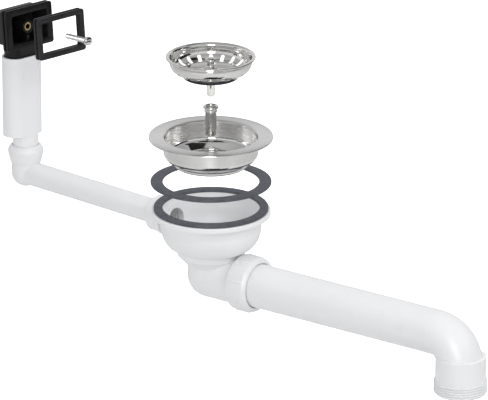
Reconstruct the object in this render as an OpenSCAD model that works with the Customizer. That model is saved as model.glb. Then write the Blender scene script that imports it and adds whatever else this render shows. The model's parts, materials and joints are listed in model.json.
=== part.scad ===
// Kitchen sink basket strainer waste with a swivel outlet elbow, a long space saving outlet pipe
// and a telescopic overflow. The loose pieces stand lifted off their seats, in the order of fitting.
// Origin: centre of the bowl gasket's top face, where the underside of the sink rests. +Z is up.

/* [Sink seat] */
// Thickness of the sink's sheet between the two gaskets
sink_sheet = 1; // [0.6:0.1:1.4]
// Radial width of the thick gasket on the bowl
bowl_gasket_w = 8; // [5:0.5:9]
// Thickness of the thick gasket
bowl_gasket_t = 3; // [2:0.5:5]
// Radial width of the flat gasket under the flange
flat_gasket_w = 11; // [7:0.5:12]
// Thickness of the flat gasket
flat_gasket_t = 1.8; // [1:0.1:3]
// Radial gap between the cup and what it passes through
cup_gap = 0.8; // [0.4:0.1:1.2]

/* [Sink flange] */
// Radial width of the flange's rim beyond the cup
flange_rim_w = 13.3; // [10:0.1:16]
// Thickness of the pressed steel
steel_t = 0.9; // [0.7:0.1:1.2]
// Outer diameter of the cup
cup_d = 85.4; // [80:0.2:90]
// Depth of the cup from the rim's top
cup_depth = 27.5; // [25:0.5:32]
// Step in from the cup to the collar under it
collar_step = 9.2; // [7:0.1:11]
// Number of spokes in the cup's floor
spoke_count = 4; // [3:1:6]
// Width of a spoke
spoke_w = 7; // [5:0.5:9]

/* [Centre screw] */
// Length over all
screw_len = 28; // [26:0.5:32]
// Wall of the shank round the stem's socket
screw_wall = 0.8; // [0.6:0.1:1.4]
// Overhang of the head beyond the shank
screw_head_w = 2.25; // [1.8:0.05:3]
// Head height
screw_head_h = 5.5; // [4:0.5:6.5]
// Diameter of the thread at its foot
stud_d = 6; // [5:0.5:7]

/* [Strainer basket] */
// Radial gap between the basket's rim and the cup's wall
basket_gap = 1.55; // [1:0.05:4]
// Radial width of the basket's rim and slotted wall
basket_wall_w = 18.25; // [14:0.25:20]
// Depth from the rim to the floor
basket_depth = 12; // [10:0.5:14]
// Thickness of the basket's steel
basket_t = 0.8; // [0.6:0.1:1]
// Number of slots
slot_count = 20; // [10:1:22]
// Width of a slot
slot_w = 3.4; // [2:0.1:4]
// Length of a slot
slot_len = 10.6; // [8:0.1:11]
// Reach of the seal beyond the basket's floor
seal_w = 3.5; // [3:0.1:6]
// Height from the seal's foot to the basket's rim
basket_h = 19.7; // [18:0.1:22]
// Diameter of the split stem
stem_d = 7.8; // [7:0.1:8]
// Reach of the stem below the rim
stem_reach = 37.7; // [34:0.1:40]
// Knob diameter
knob_d = 11; // [9:0.5:14]
// Height of the knob above the floor
knob_h = 10.6; // [8:0.2:13]

/* [Bowl] */
// Radial width of the bowl's rim beyond the cup's room
bowl_rim_w = 10.5; // [9:0.5:12]
// Thickness of the rim
bowl_rim_t = 4; // [3:0.5:6]
// Wall of the bowl
bowl_wall = 2.2; // [1.6:0.1:2.8]
// Depth from the rim to the shoulder
bowl_depth = 36.5; // [34:0.5:44]
// Outer diameter of the spigot that the elbow turns on
spigot_d = 52.4; // [48:0.2:54]
// Length of the spigot
spigot_len = 6; // [5:0.5:7]

/* [Outlet] */
// Plan angle of the outlet, turned from +X towards -Y
outlet_angle = 36.2; // [0:0.1:60]
// Drop from the bowl's shoulder to the top of the union nut
outlet_drop = 0.15; // [0.1:0.05:12]
// Wall of the elbow's socket
elbow_wall = 1.25; // [1:0.05:2.5]
// Outside diameter of the outlet pipe
pipe_d = 40; // [36:0.5:41]
// Wall of the outlet pipe
pipe_wall = 1.8; // [1.4:0.1:2.4]
// Plan distance from the bowl's axis to the down pipe's axis
outlet_reach = 273; // [200:1:340]
// Centreline radius of the bend
bend_r = 26; // [25:0.5:34]
// Distance from the bowl's axis to the nut's front face
nut_front = 54; // [52:0.5:64]
// Length of the union nut
nut_len = 20.5; // [18:0.5:24]
// Depth of the collar's foot below the outlet's axis
collar_foot = 36.5; // [36:0.5:46]
// Length of the outlet's thread
thread_len = 14; // [12:0.5:24]
// Reach of the outlet thread's crest beyond the pipe
thread_step = 3.9; // [3.5:0.1:5]

/* [Overflow] */
// Plan angle of the overflow pipe, turned from -X towards +Y
overflow_angle = 41.8; // [20:0.1:70]
// Drop from the bowl's rim to the overflow pipe's axis
overflow_drop = 19.3; // [18:0.1:22]
// Plan distance from the bowl's axis to the riser's axis
overflow_reach = 231.6; // [150:1:280]
// Outside diameter of the overflow pipe
overflow_d = 22.6; // [20:0.2:23]
// Wall of the overflow pipe
overflow_wall = 1.6; // [1.2:0.1:2]
// Outside diameter of the riser's round nipple
nipple_d = 23.8; // [21:0.2:24]
// Length of the oval sleeve
sleeve_len = 76.5; // [60:0.5:100]
// Long axis of the oval sleeve
sleeve_w = 39.4; // [36:0.2:46]
// Short axis of the oval sleeve
sleeve_t = 24.4; // [24:0.2:28]

/* [Overflow head] */
// Plan angle of the head's width, turned from +X towards +Y
head_angle = 41; // [0:1:90]
// Lean of the head's face with the sink's wall
wall_draft = 5; // [0:0.5:6]
// Width of the face
face_w = 54; // [50:0.5:60]
// Height of the face
face_h = 38.8; // [36:0.2:44]
// Thickness of the face
face_t = 7; // [5:0.5:9]
// Length of the clamping screw under its head
clamp_len = 29; // [20:0.5:36]
// Diameter of the clamping screw
clamp_d = 4.9; // [4:0.1:6]

/* [Lifted pieces] */
// Lift of the flat gasket off its seat
gasket_lift = 21.5; // [10:0.5:30]
// Lift of the flange above the flat gasket
flange_lift = 41.7; // [20:0.1:60]
// Lift of the centre screw above the flange
screw_lift = 53; // [30:0.1:70]
// Lift of the basket above the centre screw
basket_lift = 29.5; // [22:0.1:40]
// Stand of the frame gasket off the head's face
frame_lift = 40; // [20:0.5:60]
// Stand of the clamping screw's tip in front of the frame gasket
clamp_lift = 6.5; // [2:0.5:20]

/* [Hidden] */
$fn = 96;
eps = 0.05;                                     // how far a cutter runs past a face
slide_gap = 0.25;                               // radial gap between parts that slide or turn
seal_gap = 0.1;                                 // radial gap at a seal's lip
socket_gap = 0.4;                               // radial gap between the stem and its socket
cup_r = cup_d / 2;
collar_r = cup_r - collar_step;
spigot_r = spigot_d / 2;
gasket_bore_r = cup_r + cup_gap;
flange_r = cup_r + flange_rim_w;
bowl_rim_r = gasket_bore_r + bowl_rim_w;
rim_z = -bowl_gasket_t;                         // top of the bowl's rim
overflow_z = rim_z - overflow_drop;

// Flange: heights below its rim's top
cup_corner = 4;                                 // inside radius at the foot of the cup's wall
cup_slope = 30;                                 // slope of the cup's floor
cup_wall_h = 15;                                // straight wall above that corner
seat_lap = 3;                                   // the basket's seal laps its seat by this
hub_r = 9;
hub_drop = 3.1;                                 // the hub sits this far below the basket's seat
socket_r = stem_d / 2 + socket_gap;
shank_r = socket_r + screw_wall;
hub_bore_r = shank_r + slide_gap;
rim_hem = 1.6;
seat_z = -(cup_depth - steel_t);
hub_z = seat_z - hub_drop;
gasket_z = sink_sheet + gasket_lift;
flange_z = gasket_z + flat_gasket_t + steel_t + flange_lift;

// Centre screw: its head's seat and the socket for the stem
screw_seat_z = flange_z + hub_z + screw_lift;
screw_top_z = screw_seat_z + screw_head_h;
screw_foot_z = screw_top_z - screw_len;
thread_h = 6.5;                                 // threaded length at the screw's foot
stud_gap = 0.7;                                 // left between the screw's foot and the hub

// Basket on its seat stands this far above the screw's head
basket_over_screw = (seat_z + basket_h) - (hub_z + screw_head_h);
basket_z = screw_top_z + basket_over_screw + basket_lift;
basket_r = cup_r - steel_t - basket_gap;
basket_floor_r = basket_r - basket_wall_w;
seal_r = basket_floor_r + seal_w;
seat_r = seal_r - seat_lap;                     // inner edge of the basket's seat
skirt_r = seal_r - 0.9;                         // steel skirt that holds the seal
basket_seal_t = 3.2;                            // thickness of the seal's lip
seal_web_t = 1.2;                               // seal's web, clamped by the nut
seal_pocket_r = 10.5;                           // pocket in the seal for the nut and the screw's head
stem_nut_t = 2.6;
stem_slit_lo = 8;                               // the stem's slits, above its tip
stem_slit_hi = 19;
stem_pin_r = 2.4;                               // pin of the stem, through the floor into the knob
stem_pin_h = 4;                                 // its reach above the floor

// Stud in the bowl, reached by the fitted screw's foot
fitted_flange_z = sink_sheet + flat_gasket_t + steel_t;
fitted_foot_z = fitted_flange_z + hub_z + screw_head_h - screw_len;
boss_r = 7;
boss_z = fitted_foot_z - stud_gap;
boss_h = 9.5;
stud_root = 7;
web_t = 2.6;

// Bowl
bowl_straight = 15;                             // depth at which the wall turns in
bowl_mouth_r = gasket_bore_r + 1.3 + bowl_wall;
bowl_turn_r = gasket_bore_r + bowl_wall;
bowl_neck_r = 31;
spigot_wall = 2.4;
shoulder_z = rim_z - bowl_depth;
spigot_z = shoulder_z - spigot_len;

// Elbow
pipe_r = pipe_d / 2;
elbow_r = pipe_r + slide_gap + elbow_wall;
pipe_bore_r = pipe_r - pipe_wall;
collar_wall = 3;
seal_band = 1.3;                                // room for the elbow's seal round the spigot
elbow_collar_r = spigot_r + seal_band + collar_wall;
elbow_collar_h = 5.7;
elbow_cone_h = 9.5;
elbow_top_z = shoulder_z - 0.3;
socket_stop = 24;                               // where the pipe's socket ends inside
socket_mouth = nut_front - 8;
pipe_end = 30;                                  // the pipe's end inside the socket
thread_r = elbow_r + 1.8;
nut_bore_r = thread_r + slide_gap;
nut_r = nut_bore_r + 1.8;
nut_wall = 4;
outlet_z = shoulder_z - outlet_drop - nut_r;
rib_count = 8;
rib_h = 0.7;
thread_pitch = 2.309;
thread_depth = 1.48;
crest_r = pipe_r + thread_step;
down_collar_r = pipe_r + 2.5;
down_collar_top = 16.2;

// Overflow branch, pipe and riser
overflow_r = overflow_d / 2;
overflow_bore_r = overflow_r - overflow_wall;
branch_r = overflow_r + 3.2;
branch_stop = bowl_turn_r + 2.3;
branch_mouth = bowl_turn_r + 16.3;
branch_end = branch_stop + 3;                   // the pipe's end inside the branch
branch_ring_s = bowl_turn_r + 4.3;              // flange ring behind the branch's nut
branch_nut_r = branch_r + 1.9;
branch_nut_len = 13;
riser_r = 13.5;
nipple_r = nipple_d / 2;
riser_mouth = rim_z + 2.5;
riser_flare_z = rim_z - 8;
riser_flare_r = 16.5;
riser_cap_h = 5.7;
nipple_foot_z = rim_z - 9;
sleeve_z = rim_z + 20;
sleeve_wall = 1.8;
sleeve_offset = 3.6;                            // the oval's centre beside the nipple's axis
neck_gap = 0.4;
neck_w = sleeve_w - 2 * (sleeve_wall + neck_gap);
neck_t = sleeve_t - 2 * (sleeve_wall + neck_gap);
neck_len = 42;                                  // length of the neck inside the sleeve
head_z = sleeve_z + sleeve_len + 29.4;          // centre of the head's face
face_stand = sleeve_t / 2 + 0.8;                // the face stands in front of the sleeve
cavity_w = 41;
cavity_h = 27;
cavity_depth = 21;
body_w = cavity_w + 4;
body_h = cavity_h + 4.5;
body_depth = face_stand + neck_t / 2 + 1;
lip_t = 2.3;                                    // thickness of each lip round the face
lip_step = 1.6;                                 // depth of the groove between the lips
insert_r = 3.8;
insert_len = 9;
insert_set = 3;                                 // the insert lies this far behind the face
clamp_head_d = 8.2;
clamp_head_h = 3.6;

// Geometry helpers
function unit(v) = v / norm(v);
function left_of(v) = [-v.y, v.x];
function arc(c, r, a0, a1, n = 6) =
    [for (i = [0 : n]) c + r * [cos(a0 + (a1 - a0) * i / n), sin(a0 + (a1 - a0) * i / n)]];
// Direction and stretch that give a path's corner i its wall thickness
function corner_normal(p, i) =
    let (before = i == 0 ? p[1] - p[0] : p[i] - p[i - 1])
    let (after = i == len(p) - 1 ? before : p[i + 1] - p[i])
    let (n0 = left_of(unit(before)))
    let (m = unit(n0 + left_of(unit(after))))
    m / (m * n0);
// Closed outline of a sheet of thickness t laid on the left of a path
function sheet(p, t) =
    concat(p, [for (i = [len(p) - 1 : -1 : 0]) p[i] + t * corner_normal(p, i)]);

module ring(r_out, r_in, h) {
    rotate_extrude() translate([r_in, 0]) square([r_out - r_in, h]);
}

// Frames: the outlet's plan frame has +X along the pipe, the axis frames have +Z along it
module outlet_plan() {
    translate([0, 0, outlet_z]) rotate([0, 0, -outlet_angle]) children();
}
module outlet_axis() {
    outlet_plan() rotate([0, 90, 0]) children();
}
module overflow_plan() {
    rotate([0, 0, 180 - overflow_angle]) children();
}
module overflow_axis() {
    overflow_plan() translate([0, 0, overflow_z]) rotate([0, 90, 0]) children();
}
module riser_axis() {
    overflow_plan() translate([overflow_reach, 0, 0]) rotate([0, 0, overflow_angle - 180]) children();
}
module sleeve_axis() {
    riser_axis() rotate([0, 0, head_angle]) translate([-sleeve_offset, 0, 0]) children();
}
// On the head's face +X runs across, -Y out of the face and +Z up
module face_frame(stand = 0) {
    sleeve_axis() translate([0, -face_stand, head_z]) rotate([-wall_draft, 0, 0])
        translate([0, -stand, 0]) children();
}

module slot_2d(w, t) {
    square([w - t, t], center = true);
    for (side = [-1, 1])
        translate([side * (w - t) / 2, 0]) circle(d = t);
}
module rounded_2d(w, h, r) {
    square([w - 2 * r, h], center = true);
    square([w, h - 2 * r], center = true);
    for (x = [-1, 1])
        for (y = [-1, 1])
            translate([x * (w / 2 - r), y * (h / 2 - r)]) circle(r = r);
}
// A slab standing on the face's plane, from y = 0 back to y = t
module face_slab(w, h, r, t) {
    translate([0, t, 0]) rotate([90, 0, 0]) linear_extrude(t) rounded_2d(w, h, r);
}
// Two lips with a groove between them, as a soft gasket's edge
module lipped_slab(w, h, t) {
    face_slab(w, h, 2.4, lip_t);
    face_slab(w - 2 * lip_step, h - 2 * lip_step, 1.6, t);
    translate([0, t - lip_t, 0]) face_slab(w, h, 2.4, lip_t);
}

// Bowl, with the overflow branch, the outlet spigot and the hub on three webs
module bowl_outline() {
    a = bowl_turn_r - bowl_neck_r;
    b = bowl_depth - bowl_straight;
    polygon(concat(
        [[gasket_bore_r + 1.3, rim_z], [bowl_rim_r - 0.8, rim_z], [bowl_rim_r, rim_z - 0.8]],
        [[bowl_rim_r, rim_z - bowl_rim_t], [bowl_mouth_r + 1.5, rim_z - bowl_rim_t]],
        [[bowl_mouth_r, rim_z - bowl_rim_t - 1.5]],
        [for (p = arc([0, 0], 1, 0, -90, 10)) [bowl_neck_r + a * p.x, rim_z - bowl_straight + b * p.y]],
        [[spigot_r, shoulder_z], [spigot_r, spigot_z + 0.8], [spigot_r - 0.8, spigot_z]],
        [[spigot_r - spigot_wall, spigot_z], [spigot_r - spigot_wall, shoulder_z + 1.5]],
        [for (p = arc([0, 0], 1, -90, 0, 10))
            [bowl_neck_r - 1 + (a - bowl_wall + 1) * p.x,
             rim_z - bowl_straight + (b - bowl_wall) * p.y]]
    ));
}
module hub_web() {
    rotate([90, 0, 0]) translate([0, 0, -web_t / 2]) linear_extrude(web_t) polygon([
        [spigot_r - 1, shoulder_z - 0.5], [spigot_r - 1, spigot_z + 0.9],
        [boss_r - 1, boss_z - boss_h + 2], [boss_r - 1, boss_z]
    ]);
}
module valve_bowl() {
    color("whitesmoke") difference() {
        union() {
            difference() {
                union() {
                    rotate_extrude() bowl_outline();
                    overflow_axis() {
                        translate([0, 0, bowl_neck_r])
                            cylinder(r = branch_r, h = branch_mouth - bowl_neck_r);
                        translate([0, 0, branch_ring_s]) cylinder(r = branch_nut_r + 1.2, h = 3.8);
                    }
                }
                translate([0, 0, rim_z - bowl_straight])
                    cylinder(r = bowl_turn_r - bowl_wall, h = bowl_straight);
                intersection() {
                    overflow_axis() translate([0, 0, bowl_neck_r - 4])
                        cylinder(r = branch_r + 1, h = 18);
                    rotate_extrude() polygon(concat([[0, rim_z - bowl_straight]],
                        [for (p = arc([0, 0], 1, 0, -90, 10))
                            [bowl_neck_r - 1 + (bowl_turn_r - bowl_neck_r - bowl_wall + 1) * p.x,
                             rim_z - bowl_straight + (bowl_depth - bowl_straight - bowl_wall) * p.y]],
                        [[0, shoulder_z + bowl_wall]]));
                }
            }
            for (i = [0 : 2])
                rotate([0, 0, 90 + i * 120]) hub_web();
            translate([0, 0, boss_z - boss_h]) cylinder(r = boss_r, h = boss_h);
        }
        translate([0, 0, boss_z - stud_root]) cylinder(d = stud_d + 2, h = stud_root + eps);
        overflow_axis() {
            translate([0, 0, bowl_neck_r]) cylinder(r = overflow_bore_r, h = branch_mouth);
            translate([0, 0, branch_stop]) cylinder(r = overflow_r + slide_gap, h = branch_mouth);
        }
    }
}
module hub_stud() {
    color("goldenrod") {
        translate([0, 0, boss_z - stud_root]) cylinder(d = stud_d + 2, h = stud_root);
        translate([0, 0, boss_z - 1]) cylinder(d = stud_d, h = 1 + stud_gap + thread_h - 0.6);
    }
}

// Gaskets
module bowl_gasket() {
    color("dimgray") translate([0, 0, rim_z])
        ring(gasket_bore_r + 0.3 + bowl_gasket_w, gasket_bore_r + 0.3, bowl_gasket_t);
}
module flat_gasket() {
    color("slategray") translate([0, 0, gasket_z])
        ring(gasket_bore_r + flat_gasket_w, gasket_bore_r, flat_gasket_t);
}

// Pressed steel flange: rim, cup, sloping floor, collar and the spoked seat with its hub
module flange_outline() {
    rim_r = flange_r;
    wall_r = cup_r - steel_t;
    bend = arc([wall_r - cup_corner, -cup_wall_h], cup_corner, 0, -90 + cup_slope);
    foot = bend[len(bend) - 1];
    collar_in = collar_r - steel_t;
    polygon(sheet(concat(
        [[rim_r, -rim_hem], [rim_r, -0.5], [rim_r - 0.5, 0]],
        arc([wall_r + 1.6, -1.6], 1.6, 90, 180, 4),
        bend,
        [[collar_in, foot.y - (foot.x - collar_in) * tan(cup_slope)]],
        [[collar_in, seat_z], [seat_r, seat_z], [hub_r, hub_z], [hub_bore_r, hub_z]]
    ), steel_t));
}
module sink_flange() {
    color("silver") translate([0, 0, flange_z]) difference() {
        rotate_extrude() flange_outline();
        difference() {
            translate([0, 0, hub_z - 3]) ring(seat_r - 0.5, hub_r + 0.5, hub_drop + 6);
            for (i = [0 : spoke_count - 1])
                rotate([0, 0, 45 + i * 360 / spoke_count]) translate([0, -spoke_w / 2, hub_z - 4])
                    cube([seat_r + 5, spoke_w, hub_drop + 8]);
        }
    }
}

// Hollow screw: open head that takes the stem, threaded at its foot
module centre_screw() {
    head_r = shank_r + screw_head_w;
    color("lightgray") translate([0, 0, screw_top_z]) rotate_extrude() polygon([
        [socket_r + 0.8, 0], [head_r - 1.2, 0], [head_r - 0.35, -0.35], [head_r, -1.2],
        [head_r - 0.35, -2.1], [head_r - 1.2, -2.6], [shank_r + 0.6, -3.4], [shank_r + 0.6, -4.2],
        [hub_bore_r + 0.7, -4.6], [hub_bore_r + 0.7, -screw_head_h], [shank_r, -screw_head_h],
        [shank_r, -screw_len + 0.6], [shank_r - 0.6, -screw_len],
        [stud_d / 2 + seal_gap, -screw_len], [stud_d / 2 + seal_gap, -screw_len + thread_h],
        [socket_r, -screw_len + thread_h], [socket_r, -0.8]
    ]);
}

// Basket: rolled rim, polished wall, slots over the corner, flat floor
function basket_path() = concat(
    arc([basket_r - 1, -1], 1, 0, 90, 4),
    arc([basket_r - 3.4, -1.4], 1.4, 90, 150, 2),
    arc([basket_floor_r + 4.8, -5.4], 9.6, 0, -65, 8),
    [[basket_floor_r + 5.2, -basket_depth - 2.2], [basket_floor_r, -basket_depth]],
    [[stem_pin_r + seal_gap, -basket_depth]]
);
module strainer_basket() {
    color("silver") translate([0, 0, basket_z]) difference() {
        union() {
            rotate_extrude() polygon(sheet(basket_path(), basket_t));
            translate([0, 0, -basket_h + basket_seal_t])
                ring(skirt_r, skirt_r - basket_t, basket_h - basket_seal_t - basket_depth);
        }
        for (i = [0 : slot_count - 1])
            rotate([0, 0, i * 360 / slot_count]) basket_slot();
    }
}
module basket_slot() {
    reach = slot_len / 2 - slot_w / 2;
    translate([basket_floor_r + 8.4, 0, -basket_depth + 0.9]) rotate([0, -11.5, 0]) {
        translate([-reach, -slot_w / 2, -5]) cube([2 * reach, slot_w, 11]);
        for (x = [-reach, reach])
            translate([x, 0, -5]) cylinder(d = slot_w, h = 11);
    }
}
module basket_knob() {
    k = knob_d / 2;
    pin_room_r = stem_pin_r + seal_gap;
    color("gainsboro") translate([0, 0, basket_z - basket_depth]) rotate_extrude() polygon(concat(
        [[0, stem_pin_h + 0.4], [pin_room_r, stem_pin_h + 0.4], [pin_room_r, 0], [k, 0]],
        [[k, 1.2], [k - 1.2, 2], [k * 0.62, 2.6], [k * 0.62, knob_h - 5]],
        arc([k - 1.4, knob_h - 2.6], 1.4, -60, 60, 5),
        arc([0, knob_h - 10], 10, 64, 90, 4)
    ));
}
module basket_seal() {
    top = -basket_depth - basket_t;
    foot = -basket_h;
    color("dimgray") translate([0, 0, basket_z]) rotate_extrude() polygon([
        [stem_d / 2 + 0.3, top], [seal_pocket_r + 1.6, top],
        [seal_pocket_r + 3, foot + basket_seal_t], [seal_r - 0.6, foot + basket_seal_t],
        [seal_r, foot + basket_seal_t - 0.8], [seal_r, foot + 1], [seal_r - 1, foot],
        [seal_pocket_r + 2, foot], [seal_pocket_r, foot + 1.6], [seal_pocket_r, top - seal_web_t],
        [stem_d / 2 + 0.3, top - seal_web_t]
    ]);
}
module basket_stem() {
    top = basket_z - basket_depth - basket_t;
    tip = basket_z - stem_reach;
    color("white") difference() {
        union() {
            translate([0, 0, top - 1]) cylinder(r = stem_pin_r, h = 1 + basket_t + stem_pin_h);
            translate([0, 0, tip + 1.2]) cylinder(d = stem_d, h = top - tip - 1.2);
            translate([0, 0, tip]) cylinder(d1 = stem_d - 2, d2 = stem_d, h = 1.2);
        }
        translate([0, 0, tip - eps]) cylinder(d = 3.4, h = stem_slit_hi + 1);
        for (turn = [0, 90])
            rotate([0, 0, turn]) translate([-stem_d, -0.6, tip + stem_slit_lo])
                cube([2 * stem_d, 1.2, stem_slit_hi - stem_slit_lo]);
    }
}
module stem_nut() {
    top = basket_z - basket_depth - basket_t - seal_web_t;
    color("silver") translate([0, 0, top - stem_nut_t]) difference() {
        cylinder(d = 13, h = stem_nut_t, $fn = 6);
        translate([0, 0, -eps]) cylinder(d = stem_d + 0.1, h = stem_nut_t + 1);
    }
}

// Swivel elbow under the bowl
module elbow_seal() {
    color("dimgray") translate([0, 0, spigot_z + 1.4])
        ring(spigot_r + seal_band - seal_gap, spigot_r + seal_gap, 2.6);
}
module outlet_elbow() {
    bore_z = spigot_z - 1.4;
    cone_z = elbow_top_z - elbow_collar_h;
    color("whitesmoke") difference() {
        union() {
            rotate_extrude() polygon([
                [0, elbow_top_z], [elbow_collar_r - 0.8, elbow_top_z],
                [elbow_collar_r, elbow_top_z - 0.8], [elbow_collar_r, cone_z],
                [elbow_r, cone_z - elbow_cone_h], [elbow_r, outlet_z], [0, outlet_z]
            ]);
            translate([0, 0, outlet_z]) sphere(r = elbow_r);
            outlet_axis() {
                cylinder(r = elbow_r, h = socket_mouth);
                translate([0, 0, nut_front - nut_len + 2]) cylinder(r = thread_r, h = nut_len - 10);
            }
        }
        rotate_extrude() polygon([
            [0, elbow_top_z + 1], [spigot_r + seal_band, elbow_top_z + 1],
            [spigot_r + seal_band, bore_z], [spigot_r - 2.6, bore_z],
            [pipe_bore_r, cone_z - elbow_cone_h - 0.6], [pipe_bore_r, outlet_z], [0, outlet_z]
        ]);
        translate([0, 0, outlet_z]) sphere(r = pipe_bore_r);
        outlet_axis() {
            cylinder(r = pipe_bore_r, h = socket_mouth + 1);
            translate([0, 0, socket_stop]) cylinder(r = pipe_r + slide_gap, h = nut_front);
        }
    }
}
module wedge_seal() {
    color("dimgray") outlet_axis() translate([0, 0, socket_mouth + 0.2])
        ring(thread_r - 0.2, pipe_r + seal_gap, 2.6);
}
module slip_ring() {
    color("gainsboro") outlet_axis() translate([0, 0, socket_mouth + 3])
        ring(thread_r - 0.2, pipe_r + seal_gap, 0.8);
}
module union_nut() {
    back = nut_front - nut_len;
    color("whitesmoke") outlet_axis() {
        rotate_extrude() polygon([
            [nut_bore_r, back], [nut_r - 0.9, back], [nut_r, back + 1.6], [nut_r, nut_front - 3.2],
            [nut_r - 1.6, nut_front - 0.8], [nut_r - 2.4, nut_front], [pipe_r + 0.9, nut_front],
            [pipe_r + 0.6, nut_front - 0.5], [pipe_r + 0.6, nut_front - nut_wall],
            [nut_bore_r, nut_front - nut_wall]
        ]);
        for (i = [0 : rib_count - 1])
            rotate([0, 0, (i + 0.5) * 360 / rib_count]) translate([nut_r - 0.4, -1.5, back + 2])
                cube([rib_h + 0.4, 3, nut_len - 6]);
    }
}

// Outlet pipe: straight run, bend and down pipe in one piece, with a collar for the thread
module pipe_run(r, start, foot) {
    translate([start, 0, 0]) rotate([0, 90, 0]) cylinder(r = r, h = outlet_reach - bend_r - start);
    translate([outlet_reach - bend_r, 0, -bend_r]) rotate([90, 0, 0]) rotate_extrude(angle = 90)
        translate([bend_r, 0]) circle(r = r);
    translate([outlet_reach, 0, -foot]) cylinder(r = r, h = foot - bend_r);
}
module outlet_pipe() {
    color("whitesmoke") outlet_plan() difference() {
        union() {
            pipe_run(pipe_r, pipe_end, collar_foot);
            translate([outlet_reach, 0, -collar_foot])
                cylinder(r = down_collar_r, h = collar_foot - down_collar_top);
        }
        pipe_run(pipe_bore_r, pipe_end - eps, collar_foot + eps);
        translate([outlet_reach, 0, -collar_foot - eps]) cylinder(r = pipe_r + 0.4, h = 8 + eps);
    }
}
module threaded_outlet() {
    minor_r = crest_r - thread_depth;
    turns = floor((thread_len - 2) / thread_pitch);
    color("whitesmoke") outlet_plan() translate([outlet_reach, 0, -collar_foot]) difference() {
        union() {
            cylinder(r = pipe_r + 0.4, h = 7);
            translate([0, 0, -thread_len]) cylinder(r = minor_r, h = thread_len);
            for (i = [0 : turns - 1])
                translate([0, 0, -1.6 - (i + 1) * thread_pitch]) rotate_extrude() polygon([
                    [minor_r - 0.5, 0], [minor_r, 0], [crest_r, 0.95], [crest_r, 1.3],
                    [minor_r, thread_pitch - 0.06], [minor_r - 0.5, thread_pitch - 0.06]
                ]);
        }
        translate([0, 0, -thread_len - eps]) cylinder(r = pipe_bore_r, h = thread_len + 8);
    }
}

// Overflow: seal and nut on the bowl's branch, pipe with its riser elbow
module branch_seal() {
    color("dimgray") overflow_axis() translate([0, 0, branch_mouth + 0.1])
        ring(branch_r - 0.2, overflow_r + seal_gap, 2.2);
}
module branch_nut() {
    front = branch_mouth + 5.5;
    back = front - branch_nut_len;
    color("whitesmoke") overflow_axis() rotate_extrude() polygon([
        [branch_r + slide_gap, back], [branch_nut_r - 0.6, back], [branch_nut_r, back + 0.6],
        [branch_nut_r, front - 1], [branch_nut_r - 1, front], [overflow_r + 0.4, front],
        [overflow_r + 0.4, branch_mouth + 2.5], [branch_r + slide_gap, branch_mouth + 2.5]
    ]);
}
module overflow_pipe() {
    color("whitesmoke") difference() {
        union() {
            overflow_axis() translate([0, 0, branch_end])
                cylinder(r = overflow_r, h = overflow_reach - branch_end);
            riser_axis() {
                translate([0, 0, overflow_z]) sphere(r = riser_r);
                rotate_extrude() polygon([
                    [0, overflow_z], [riser_r, overflow_z], [riser_r, riser_flare_z - 2],
                    [riser_r + 1, riser_flare_z], [riser_flare_r, riser_mouth - 2],
                    [riser_flare_r, riser_mouth], [0, riser_mouth]
                ]);
            }
        }
        overflow_axis() translate([0, 0, branch_end - 1])
            cylinder(r = overflow_bore_r, h = overflow_reach - branch_end + 1);
        riser_axis() {
            translate([0, 0, overflow_z]) sphere(r = overflow_bore_r + 0.6);
            rotate_extrude() polygon([
                [0, overflow_z], [overflow_bore_r, overflow_z], [overflow_bore_r, nipple_foot_z - 1],
                [nipple_r + slide_gap, nipple_foot_z - 1], [nipple_r + slide_gap, riser_mouth - 3.2],
                [nipple_r + 2.4, riser_mouth - 3.2], [nipple_r + 2.4, riser_mouth + 1], [0, riser_mouth + 1]
            ]);
        }
    }
}
module riser_seal() {
    color("dimgray") riser_axis() translate([0, 0, riser_mouth - 3.1])
        ring(nipple_r + 2.3, nipple_r + seal_gap, 2.8);
}
module riser_cap() {
    color("whitesmoke") riser_axis() translate([0, 0, riser_mouth]) rotate_extrude() polygon([
        [nipple_r + slide_gap, 0], [riser_flare_r, 0], [riser_flare_r, 0.8],
        [nipple_r + 2, riser_cap_h - 0.7], [nipple_r + 1.4, riser_cap_h],
        [nipple_r + slide_gap, riser_cap_h]
    ]);
}

// Oval sleeve on its round nipple
module overflow_sleeve() {
    floor_t = 2.4;
    color("whitesmoke") difference() {
        union() {
            sleeve_axis() translate([0, 0, sleeve_z]) linear_extrude(sleeve_len)
                slot_2d(sleeve_w, sleeve_t);
            riser_axis() translate([0, 0, nipple_foot_z])
                cylinder(r = nipple_r, h = sleeve_z - nipple_foot_z + 1);
        }
        sleeve_axis() translate([0, 0, sleeve_z + floor_t]) linear_extrude(sleeve_len)
            slot_2d(sleeve_w - 2 * sleeve_wall, sleeve_t - 2 * sleeve_wall);
        riser_axis() translate([0, 0, nipple_foot_z - eps])
            cylinder(r = nipple_r - 2.2, h = sleeve_z - nipple_foot_z + 4);
    }
}

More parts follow.
